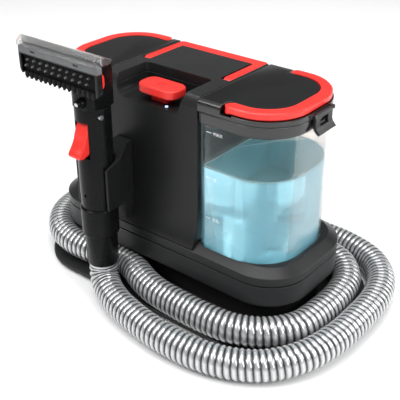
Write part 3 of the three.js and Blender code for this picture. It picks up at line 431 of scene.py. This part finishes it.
NODE_MAT = {
    "base_tray": "tray", "foot_1": "rubber", "foot_2": "rubber", "foot_3": "rubber", "foot_4": "rubber",
    "base_shell": "body", "base_cradle": "body", "tower_front": "tower", "tower_rear": "tower", "cover_screw_1": "steel", "cover_screw_2": "steel",
    "top_panel": "body", "carry_handle": "coral", "power_button": "coral_button", "power_switch": "dark_inner", "status_led": "led",
    "vacuum_motor": "motor", "motor_mount": "rubber", "fan_case": "dark_inner", "impeller": "alu", "water_pump": "dark_inner", "circuit_board": "board",
    "mains_gland": "rubber", "hose_port": "body", "hose_coupler": "wand", "holster": "tower",
    "clean_valve": "rubber", "clean_tank": "smoke", "clean_water": "blue_water", "clean_collar": "gloss_black", "clean_lid": "gloss_black",
    "clean_seal": "rubber", "clean_bail": "coral", "clean_latch": "body", "separator_tower": "dark_inner", "float_ball": "white_plastic",
    "dirty_tank": "smoke_dirty", "dirty_water": "brown_water", "dirty_collar": "gloss_black", "dirty_lid": "gloss_black",
    "dirty_seal": "rubber", "dirty_bail": "coral", "dirty_latch": "body", "wand_grip": "wand", "suction_tube": "grey", "wand_collar": "wand",
    "hose_cuff": "wand", "trigger_pin": "steel", "trigger": "coral", "spray_valve": "grey", "nozzle_neck": "wand", "release_button": "coral_button",
    "nozzle_hood": "silver", "slot_window": "clear_lip", "nozzle_face": "face_two", "brush_block": "brush_black", "spray_nozzle": "wand", "suction_hose": "hose_clear",
}


def shade_group(angle_deg):
    """Welds the flat-shaded frame mesh and shades it smooth where faces meet at less than the angle."""
    g = bpy.data.node_groups.new("shade_%d" % angle_deg, "GeometryNodeTree")
    g.interface.new_socket("Geometry", in_out="INPUT", socket_type="NodeSocketGeometry")
    g.interface.new_socket("Geometry", in_out="OUTPUT", socket_type="NodeSocketGeometry")
    i = g.nodes.new("NodeGroupInput")
    o = g.nodes.new("NodeGroupOutput")
    rem = g.nodes.new("GeometryNodeRemoveAttribute")
    rem.inputs["Name"].default_value = "custom_normal"
    mg = g.nodes.new("GeometryNodeMergeByDistance")
    mg.inputs["Distance"].default_value = 2e-6
    s1 = g.nodes.new("GeometryNodeSetShadeSmooth"); s1.domain = "FACE"
    s1.inputs["Shade Smooth"].default_value = True
    ea = g.nodes.new("GeometryNodeInputMeshEdgeAngle")
    cp = g.nodes.new("FunctionNodeCompare"); cp.data_type = "FLOAT"; cp.operation = "GREATER_THAN"
    cp.inputs["B"].default_value = math.radians(angle_deg)
    s2 = g.nodes.new("GeometryNodeSetShadeSmooth"); s2.domain = "EDGE"
    s2.inputs["Shade Smooth"].default_value = False
    L = g.links.new
    L(i.outputs[0], rem.inputs["Geometry"])
    L(rem.outputs[0], mg.inputs["Geometry"])
    L(mg.outputs[0], s1.inputs["Geometry"])
    L(s1.outputs[0], s2.inputs["Geometry"])
    L(ea.outputs["Unsigned Angle"], cp.inputs["A"])
    L(cp.outputs[0], s2.inputs["Selection"])
    L(s2.outputs[0], o.inputs[0])
    return g


SHADE = {}


def smooth_mod(ob, angle=32):
    if angle not in SHADE:
        SHADE[angle] = shade_group(angle)
    md = ob.modifiers.new("shade", "NODES")
    md.node_group = SHADE[angle]


for name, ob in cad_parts.items():
    mat = M[NODE_MAT[name]]
    if not ob.data.materials:
        ob.data.materials.append(mat)
    for s in ob.material_slots:
        s.material = mat
    smooth_mod(ob, 34)

# ------------------------------------------------------------------ suction hose
ROUTE = [
    [-52, -119.5, 47.7], [-52, -119.5, 41], [-50.6, -121, 33.4], [-45.4, -125, 25.4], [-36, -130.4, 20.2], [-22, -137.4, 18.5],
    [0, -146, 18.3], [46, -156.6, 18.3], [88, -160.6, 18.3], [130, -158, 18.3], [168, -147, 18.3], [201, -125, 18.8],
    [225, -90, 20.6], [236.6, -45, 21.2], [239, 5, 21.2], [236, 55, 21], [221, 98, 19.6], [193, 128, 18.4], [150, 143, 18.3], [95, 146, 18.3],
    [20, 145, 18.3], [-60, 146, 18.3], [-120, 143, 18.3], [-168, 128, 18.3], [-203, 98, 18.3], [-221, 55, 18.4],
    [-223, 14, 19.6], [-216.6, -22, 23.6], [-200, -54, 26.3], [-174, -78, 26.5], [-140, -90, 26.5], [-105, -90.6, 26.5], [-75, -85.6, 26.5], [-50, -82.2, 26.5],
    [-28, -88, 26.5], [-6, -98, 26.5], [22, -106.4, 26.5], [60, -110, 26.5], [105, -110.4, 26.5], [142, -105, 26.5], [174, -87, 26.5],
    [195, -58, 26.5], [201, -20, 26.5], [201, 22, 26.5], [192, 60, 26.5], [168, 88, 26.6], [134, 98, 27], [95, 99.2, 27.6], [50, 98.8, 28.3], [10, 98.6, 28.5], [-27.7, 98.6, 28.5],
]
ROUTE_M = [W(*p) for p in ROUTE]
line = catmull([tuple(p) for p in ROUTE_M], 30)
PITCH = 0.0074
_, HOSE_L = resample(line, 10)
n_ring = int(HOSE_L / (PITCH / 10)) + 1
line, HOSE_L = resample(line, n_ring)
SIDES = 44
_, _, (P, T, R, S) = tube_mesh(line, 0.01, 4, False)
s = np.linspace(0, HOSE_L, n_ring)
ang = np.arange(SIDES) * 2 * math.pi / SIDES
# the wall bulges out over the wire and sinks between its turns
ph = (ang[None, :] - 2 * math.pi * s[:, None] / PITCH)
rad = 0.0164 + 0.0017 * np.abs(np.cos(ph / 2)) ** 0.75
ends = np.clip(np.minimum(s, HOSE_L - s) / 0.004, 0, 1)[:, None]
rad = rad * ends + 0.0172 * (1 - ends)


def swept(rad):
    V = P[:, None, :] + rad[:, :, None] * (np.cos(ang)[None, :, None] * R[:, None, :] + np.sin(ang)[None, :, None] * S[:, None, :])
    return V.reshape(-1, 3)


hose = new_object("hose_skin", swept(rad), grid_faces(n_ring, SIDES), M["hose_clear"])
uvl = hose.data.uv_layers.new(name="ribs")
li = np.zeros(len(hose.data.loops), dtype=np.int64)
hose.data.loops.foreach_get("vertex_index", li)
lu = (li % SIDES) / SIDES
quad = lu.reshape(-1, 4)
wrap = quad.max(1) - quad.min(1) > 0.5
quad[wrap] = np.where(quad[wrap] < 0.5, quad[wrap] + 1, quad[wrap])
lv_ = s[li // SIDES] / PITCH
uvl.data.foreach_set("uv", np.stack([quad.reshape(-1), lv_], 1).reshape(-1).astype(np.float32))
# the helical wire, moulded into the wall
turns = HOSE_L / PITCH
nw = int(turns * 18)
sw = np.linspace(0.003, HOSE_L - 0.003, nw)
idx = np.clip(sw / HOSE_L * (n_ring - 1), 0, n_ring - 1.001)
i0 = idx.astype(int); f = (idx - i0)[:, None]
lerp = lambda A: A[i0] * (1 - f) + A[i0 + 1] * f
pa = 2 * math.pi * sw / PITCH
wire_line = lerp(P) - 0.01655 * (np.cos(pa)[:, None] * lerp(R) + np.sin(pa)[:, None] * lerp(S))
wv, wf, _ = tube_mesh(wire_line, 0.00062, 5)
wire = new_object("hose_wire", wv, wf, M["hose_wire"])
# the thin water line that runs inside it
lw = P[::6] - np.array([0, 0, 0.0])
off = 0.0075
lv = lerp(P)[::14] + off * (lerp(S)[::14] * np.cos(sw[::14, None] * 9) + lerp(R)[::14] * np.sin(sw[::14, None] * 9))
tv, tf, _ = tube_mesh(lv, 0.0032, 8)
water_line = new_object("hose_water_line", tv, tf, M["hose_line"])
for o in (hose, wire, water_line):
    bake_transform(o)
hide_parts("suction_hose")

# ------------------------------------------------------------------ brush pad
def nub(px, pz, length, r, y0=-162.2, segs=12):
    """A soft rubber nub: tapered, with a rounded tip, pointing to the front."""
    prof = [(r, 0), (r * 0.92, length * 0.35), (r * 0.82, length * 0.7), (r * 0.62, length * 0.92), (r * 0.25, length), (0.01, length)]
    v = []
    for rr, t in prof:
        for k in range(segs):
            a = 2 * math.pi * k / segs
            v.append(W(px + rr * math.cos(a), y0 - t, pz + rr * math.sin(a)))
    return v, grid_faces(len(prof), segs)


def rounded_block(x0, x1, y0, y1, z0, z1, r, n=5):
    """Box with its four X-Z corners rounded and a soft front edge."""
    pts = []
    for cx, cz, a0 in ((x1 - r, z1 - r, 0), (x0 + r, z1 - r, 90), (x0 + r, z0 + r, 180), (x1 - r, z0 + r, 270)):
        for k in range(n + 1):
            a = math.radians(a0 + 90 * k / n)
            pts.append((cx + r * math.cos(a), cz + r * math.sin(a)))
    cx, cz = (x0 + x1) / 2, (z0 + z1) / 2
    rings = []
    e = 0.9
    for y, g in ((y1, 0), (y0 + e, 0), (y0 + e * 0.3, 0.25), (y0, e)):
        rings.append([W(x - math.copysign(min(g, abs(x - cx)), x - cx), y, z - math.copysign(min(g, abs(z - cz)), z - cz)) for x, z in pts])
    n_ = len(pts)
    v = [p for r_ in rings for p in r_]
    f = grid_faces(len(rings), n_, flip=True)
    f.append(tuple(range(n_)))
    f.append(tuple(range((len(rings) - 1) * n_, len(rings) * n_))[::-1])
    return v, f


parts = []
bv, bf = rounded_block(-108.2, 4.2, -162.4, -160.9, 292.4, 315, 2.4)
parts.append((bv, bf, 0))
for k in range(10):
    v, f_ = nub(-100.5 + k * 10.4, 309.6, 3.6, 1.5); parts.append((v, f_, 1))
    v, f_ = nub(-103.6 + k * 10.4, 302.4, 3.6, 1.5); parts.append((v, f_, 1))
for k in range(22):
    v, f_ = nub(-105.6 + k * 5.12, 295.6, 3.4, 0.85, segs=8); parts.append((v, f_, 2))
# tufts of bristle along the lower edge, each drawn to a point
for k in range(15):
    bx = -103.6 + k * 7.37
    v, f_, _ = tube_mesh([W(bx, -162.5, 295.2), W(bx, -163.4, 291.0), W(bx, -164.4, 288.4)], [0.0034, 0.0030, 0.0010], 10)
    parts.append((v, f_, 2))
    for j in range(8):
        a = 2 * math.pi * j / 8 + k
        ox, oy = 2.3 * math.cos(a), 0.9 * math.sin(a)
        lean = rng.normal(0, 0.4, 2)
        p0 = W(bx + ox, -162.8 + oy * 0.6, 294.5)
        p1 = W(bx + ox * 0.95, -163.6 + oy, 290.8)
        p2 = W(bx + ox * 0.5 + lean[0], -164.6 + oy * 0.6, 288.0)
        v, f_, _ = tube_mesh([p0, p1, p2], [0.00038, 0.00036, 0.00022], 5)
        parts.append((v, f_, 2))
bv, bf = rounded_block(-106.0, 2.0, -163.5, -161.6, 289.6, 295.5, 0.8)
parts.append((bv, bf, 2))
V_, F_, I_ = join_parts(parts)
brush = new_object("brush_pad", V_, F_, [M["brush_black"], M["nub_grey"], M["bristle"]], True, I_)
smooth_mod(brush, 40)
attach(brush, "nozzle")
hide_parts("brush_block")

# ------------------------------------------------------------------ pale insert in the spray jet, coloured pale as a painted highlight on the jet tip
tv_, tf_ = rounded_block(-47.6, -42.4, -150.1, -149.3, 263.9, 268.1, 1.2)
tip = new_object("spray_jet_insert", tv_, tf_, M["tip"], True)
smooth_mod(tip, 40)
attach(tip, "nozzle")

# ------------------------------------------------------------------ spray trigger, with rounded edges
def rounded_sweep(profile, x0, x1, e, per=8, slices=7):
    """Closed profile [(y, z)] in mm, smoothed, swept along X with its two edges rounded by e."""
    P_ = np.array(profile, float)
    n_ = len(P_)
    pts = []
    for i in range(n_):
        p0, p1, p2, p3 = P_[i - 1], P_[i], P_[(i + 1) % n_], P_[(i + 2) % n_]
        for k in range(per):
            t = k / per
            pts.append(0.5 * (2 * p1 + (p2 - p0) * t + (2 * p0 - 5 * p1 + 4 * p2 - p3) * t * t + (3 * p1 - p0 - 3 * p2 + p3) * t ** 3))
    pts = np.array(pts)
    tan = np.roll(pts, -1, 0) - np.roll(pts, 1, 0)
    nrm = np.stack([tan[:, 1], -tan[:, 0]], 1)
    nrm /= np.linalg.norm(nrm, axis=1)[:, None]
    area2 = np.sum(pts[:, 0] * np.roll(pts[:, 1], -1) - np.roll(pts[:, 0], -1) * pts[:, 1])
    if area2 < 0:
        nrm = -nrm
    rings = []
    for side in (-1, 1):
        steps = range(slices + 1) if side < 0 else range(slices, -1, -1)
        for k in steps:
            a = math.pi / 2 * k / slices
            d = e * (1 - math.sin(a))
            x = (x0 + e * (1 - math.cos(a))) if side < 0 else (x1 - e * (1 - math.cos(a)))
            q = pts - nrm * d
            rings.append([W(x, y, z) for y, z in q])
    m = len(pts)
    v = [p for r_ in rings for p in r_]
    f = grid_faces(len(rings), m, flip=area2 > 0)
    f.append(tuple(range(m)) if area2 > 0 else tuple(range(m))[::-1])
    last = tuple(range((len(rings) - 1) * m, len(rings) * m))
    f.append(last[::-1] if area2 > 0 else last)
    return v, f


TRIG = [(-125.4, 251.2), (-130.6, 251.4), (-133.6, 247.5), (-134.8, 240), (-138.4, 234), (-141.6, 227), (-144.4, 219), (-148.6, 211.8), (-152.6, 206.8), (-153.8, 202.8), (-151.2, 200),
        (-146, 199.4), (-139.4, 201.2), (-133.6, 206.4), (-130.4, 215), (-128, 232), (-125.4, 244)]
tv_, tf_ = rounded_sweep(TRIG, -61.5, -42.5, 2.5)
trig = new_object("spray_trigger", tv_, tf_, M["coral"], True)
smooth_mod(trig, 50)
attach(trig, "trigger")
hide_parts("trigger")

# ------------------------------------------------------------------ level marks
def text_mark(name, body, size, at, body_name, depth=0.00008):
    cu = bpy.data.curves.new(name, "FONT")
    cu.body = body
    cu.size = size
    cu.extrude = depth
    cu.align_x = "LEFT"
    ob = bpy.data.objects.new(name, cu)
    scene.collection.objects.link(ob)
    ob.rotation_euler = (math.pi / 2, 0, 0)
    ob.location = at
    bpy.context.view_layer.update()
    dg = bpy.context.evaluated_depsgraph_get()
    me = bpy.data.meshes.new_from_object(ob.evaluated_get(dg))
    me.transform(ob.matrix_world)
    bpy.data.objects.remove(ob)
    out = bpy.data.objects.new(name, me)
    scene.collection.objects.link(out)
    me.materials.clear()
    me.materials.append(M["mark_white"])
    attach(out, body_name)
    return out


def bar_mark(name, x0, x1, z, h, body_name, y=-70.62):
    a, b = W(x0, y, z - h / 2), W(x1, y + 0.1, z + h / 2)
    vs = [(x, y_, z_) for x in (a.x, b.x) for y_ in (a.y, b.y) for z_ in (a.z, b.z)]
    fs = [(0, 1, 3, 2), (4, 6, 7, 5), (0, 4, 5, 1), (2, 3, 7, 6), (0, 2, 6, 4), (1, 5, 7, 3)]
    o = new_object(name, vs, fs, M["mark_white"], False)
    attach(o, body_name)
    return o


for tag, word, z in (("max", "MAX", 240.5), ("1l", "1L", 185), ("half", "0.5L", 133)):
    bar_mark("mark_%s_tick" % tag, 72, 79, z, 0.75, "clean_tank")
    text_mark("mark_%s" % tag, word, 0.0058, W(81.8, -70.62, z - 2.1), "clean_tank")

# ------------------------------------------------------------------ button glyph: a plain power sign, raised
gl = []
n = 28
ring = []
for rr, zz in ((4.1, 268.9), (4.2, 269.25), (5.2, 269.25), (5.3, 268.9)):
    for k in range(n):
        a = math.radians(90 + 34) + math.radians(292) * k / (n - 1)
        ring.append(W(-9 + rr * math.cos(a), -49.5 + rr * math.sin(a), zz))
gf = grid_faces(4, n, closed=False, flip=True)
gl.append((ring, gf, 0))
a, b = W(-9.6, -48.6, 268.9), W(-8.4, -43.6, 269.25)
vs = [(x, y_, z_) for x in (a.x, b.x) for y_ in (a.y, b.y) for z_ in (a.z, b.z)]
gl.append((vs, [(0, 1, 3, 2), (4, 6, 7, 5), (0, 4, 5, 1), (2, 3, 7, 6), (0, 2, 6, 4), (1, 5, 7, 3)], 0))
V_, F_, I_ = join_parts(gl)
glyph = new_object("button_glyph", V_, F_, [M["glyph"]], False)
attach(glyph, "power_button")

# ------------------------------------------------------------------ droplets inside the waste tank, above the water
def dome(c, normal, tangent, r, flat, segs=10, rings=4):
    up = normal.cross(tangent)
    v = []
    for i in range(rings + 1):
        t = (math.pi / 2) * i / rings
        for k in range(segs):
            a = 2 * math.pi * k / segs
            rr = r * math.cos(t)
            v.append(c + tangent * rr * math.cos(a) + up * rr * math.sin(a) * 1.12 + normal * r * flat * math.sin(t))
    return v, grid_faces(rings + 1, segs) + [tuple(range(segs))[::-1]]


dr = []
for k in range(150):
    z = 214 + 32 * rng.random() ** 0.9
    u = rng.random()
    if u < 0.55:
        x, y, nrm, tan = -(90 + 24 * rng.random()), -68.05, Vector((0, 1, 0)), Vector((1, 0, 0))
    else:
        a = math.radians(180 + 90 * rng.random())
        x, y = -112.5 + 51.45 * math.cos(a), -16.5 + 51.45 * math.sin(a)
        nrm, tan = Vector((-math.cos(a), -math.sin(a), 0)), Vector((-math.sin(a), math.cos(a), 0))
    r = 0.0006 + 0.0013 * rng.random() ** 2
    v, f_ = dome(W(x, y, z), nrm, tan, r, 0.55)
    dr.append((v, f_, 0))
V_, F_, I_ = join_parts(dr)
drops = new_object("waste_droplets", V_, F_, [M["droplet"]], True)
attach(drops, "dirty_tank")

# ------------------------------------------------------------------ the curl of water against the wall, paler than the water: a painted highlight along the waterline
def tank_ring(xi, inset, side, n=14):
    """Plan of a tank wall, set in by inset: closed list of (x, y) in mm."""
    x0, x1, y1 = xi + 1.3 + inset, 166.5 - inset, 70.5 - inset
    out = []
    for cx, cy, r, a0 in ((x1 - (54 - inset), y1 - (54 - inset), 54 - inset, 0), (x0 + 5, y1 - 5, 5, 90), (x0 + 5, -y1 + 5, 5, 180), (x1 - (54 - inset), -y1 + (54 - inset), 54 - inset, 270)):
        for k in range(n + 1):
            a = math.radians(a0 + 90 * k / n)
            out.append((side * (cx + r * math.cos(a)), cy + r * math.sin(a)))
    return out


for tag, xi, level, side, mat_name in (("clean", 60.7, 195.5, 1, "meniscus_blue"), ("dirty", 81.7, 212.0, -1, "meniscus_brown")):
    # painted highlight: the ring is paler and less clear than the water, standing in for the bright line of light along
    # the waterline
    col = ((0.62, 0.88, 0.95), (0.75, 0.94, 0.99)) if side > 0 else ((0.50, 0.30, 0.12), (0.62, 0.40, 0.20))
    M[mat_name] = clear(mat_name, col[0], col[1], rough=(0.0, 0.03), trans=0.45, ior=1.33, bump=0.0)
    prof = [(2.85, -0.9), (2.85, 0.75), (3.1, 0.35), (3.6, 0.12), (4.6, 0.02), (4.6, -0.9)]
    rings = [[W(x, y, level + dz) for x, y in tank_ring(xi, inset, side)] for inset, dz in prof]
    nn = len(rings[0])
    v = [p for r_ in rings for p in r_]
    o = new_object("%s_meniscus" % tag, v, grid_faces(len(prof), nn) + [(i, (i + 1) % nn, (len(prof) - 1) * nn + (i + 1) % nn, (len(prof) - 1) * nn + i) for i in range(nn)], M[mat_name], True)
    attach(o, "%s_tank" % tag)

# ------------------------------------------------------------------ stage and light
def stage_mat():
    m, nt, bs = nt_of("floor_paper")
    tc = nt.nodes.new("ShaderNodeTexCoord")
    n1 = noise(nt, tc.outputs["Object"], 3, 2)
    c = ramp(nt, n1.outputs["Fac"], [(0.3, (0.86, 0.86, 0.86, 1)), (0.7, (0.88, 0.88, 0.88, 1))])
    nt.links.new(c.outputs[0], bs.inputs["Base Color"])
    bs.inputs["Roughness"].default_value = 0.9
    bs.inputs["Specular IOR Level"].default_value = 0.1
    return m


g = 12.0
floor = new_object("floor", [(-g, -g, 0), (g, -g, 0), (g, g, 0), (-g, g, 0)], [(0, 1, 2, 3)], stage_mat(), False)

w = bpy.data.worlds.new("world")
scene.world = w
w.use_nodes = True
nt = w.node_tree
nt.nodes.clear()
wo = nt.nodes.new("ShaderNodeOutputWorld")
bg = nt.nodes.new("ShaderNodeBackground")
tc = nt.nodes.new("ShaderNodeTexCoord")
sp = nt.nodes.new("ShaderNodeSeparateXYZ")
nt.links.new(tc.outputs["Generated"], sp.inputs[0])
cr = nt.nodes.new("ShaderNodeValToRGB")
ce = cr.color_ramp.elements
ce[0].position, ce[0].color = 0.0, (1, 1, 1, 1)
ce[1].position, ce[1].color = 1.0, (1, 1, 1, 1)
for pos, val in ((0.50, 1.0), (0.56, 0.58), (0.64, 0.17), (0.80, 0.17), (0.88, 0.8)):
    x = ce.new(pos)
    x.color = (val, val, val, 1)
mh = nt.nodes.new("ShaderNodeMapRange")
mh.inputs["From Min"].default_value = -1.0
mh.inputs["From Max"].default_value = 1.0
nt.links.new(sp.outputs["Z"], mh.inputs["Value"])
nt.links.new(mh.outputs[0], cr.inputs["Fac"])
nt.links.new(cr.outputs[0], bg.inputs["Color"])
bg.inputs["Strength"].default_value = 0.85
nt.links.new(bg.outputs[0], wo.inputs["Surface"])


def area(name, loc, target, size, power, color=(1, 1, 1)):
    d = bpy.data.lights.new(name, "AREA")
    d.shape = "RECTANGLE"
    d.size, d.size_y = size
    d.energy = power
    d.color = color
    o = bpy.data.objects.new(name, d)
    o.location = loc
    v = Vector(target) - Vector(loc)
    o.rotation_euler = v.to_track_quat("-Z", "Y").to_euler()
    scene.collection.objects.link(o)
    return o


area("key", (-0.7, -1.3, 1.7), (0, 0, 0.12), (1.0, 1.0), 24)
area("right", (1.6, -0.2, 1.1), (0, 0, 0.15), (0.6, 1.2), 15)
area("top", (0.1, -0.1, 2.2), (0, 0, 0.1), (1.6, 1.6), 34)
area("rear", (1.3, 1.1, 0.8), (0.1, 0, 0.15), (0.7, 0.9), 12)

scene.view_settings.view_transform = "Standard"
scene.view_settings.look = "None"

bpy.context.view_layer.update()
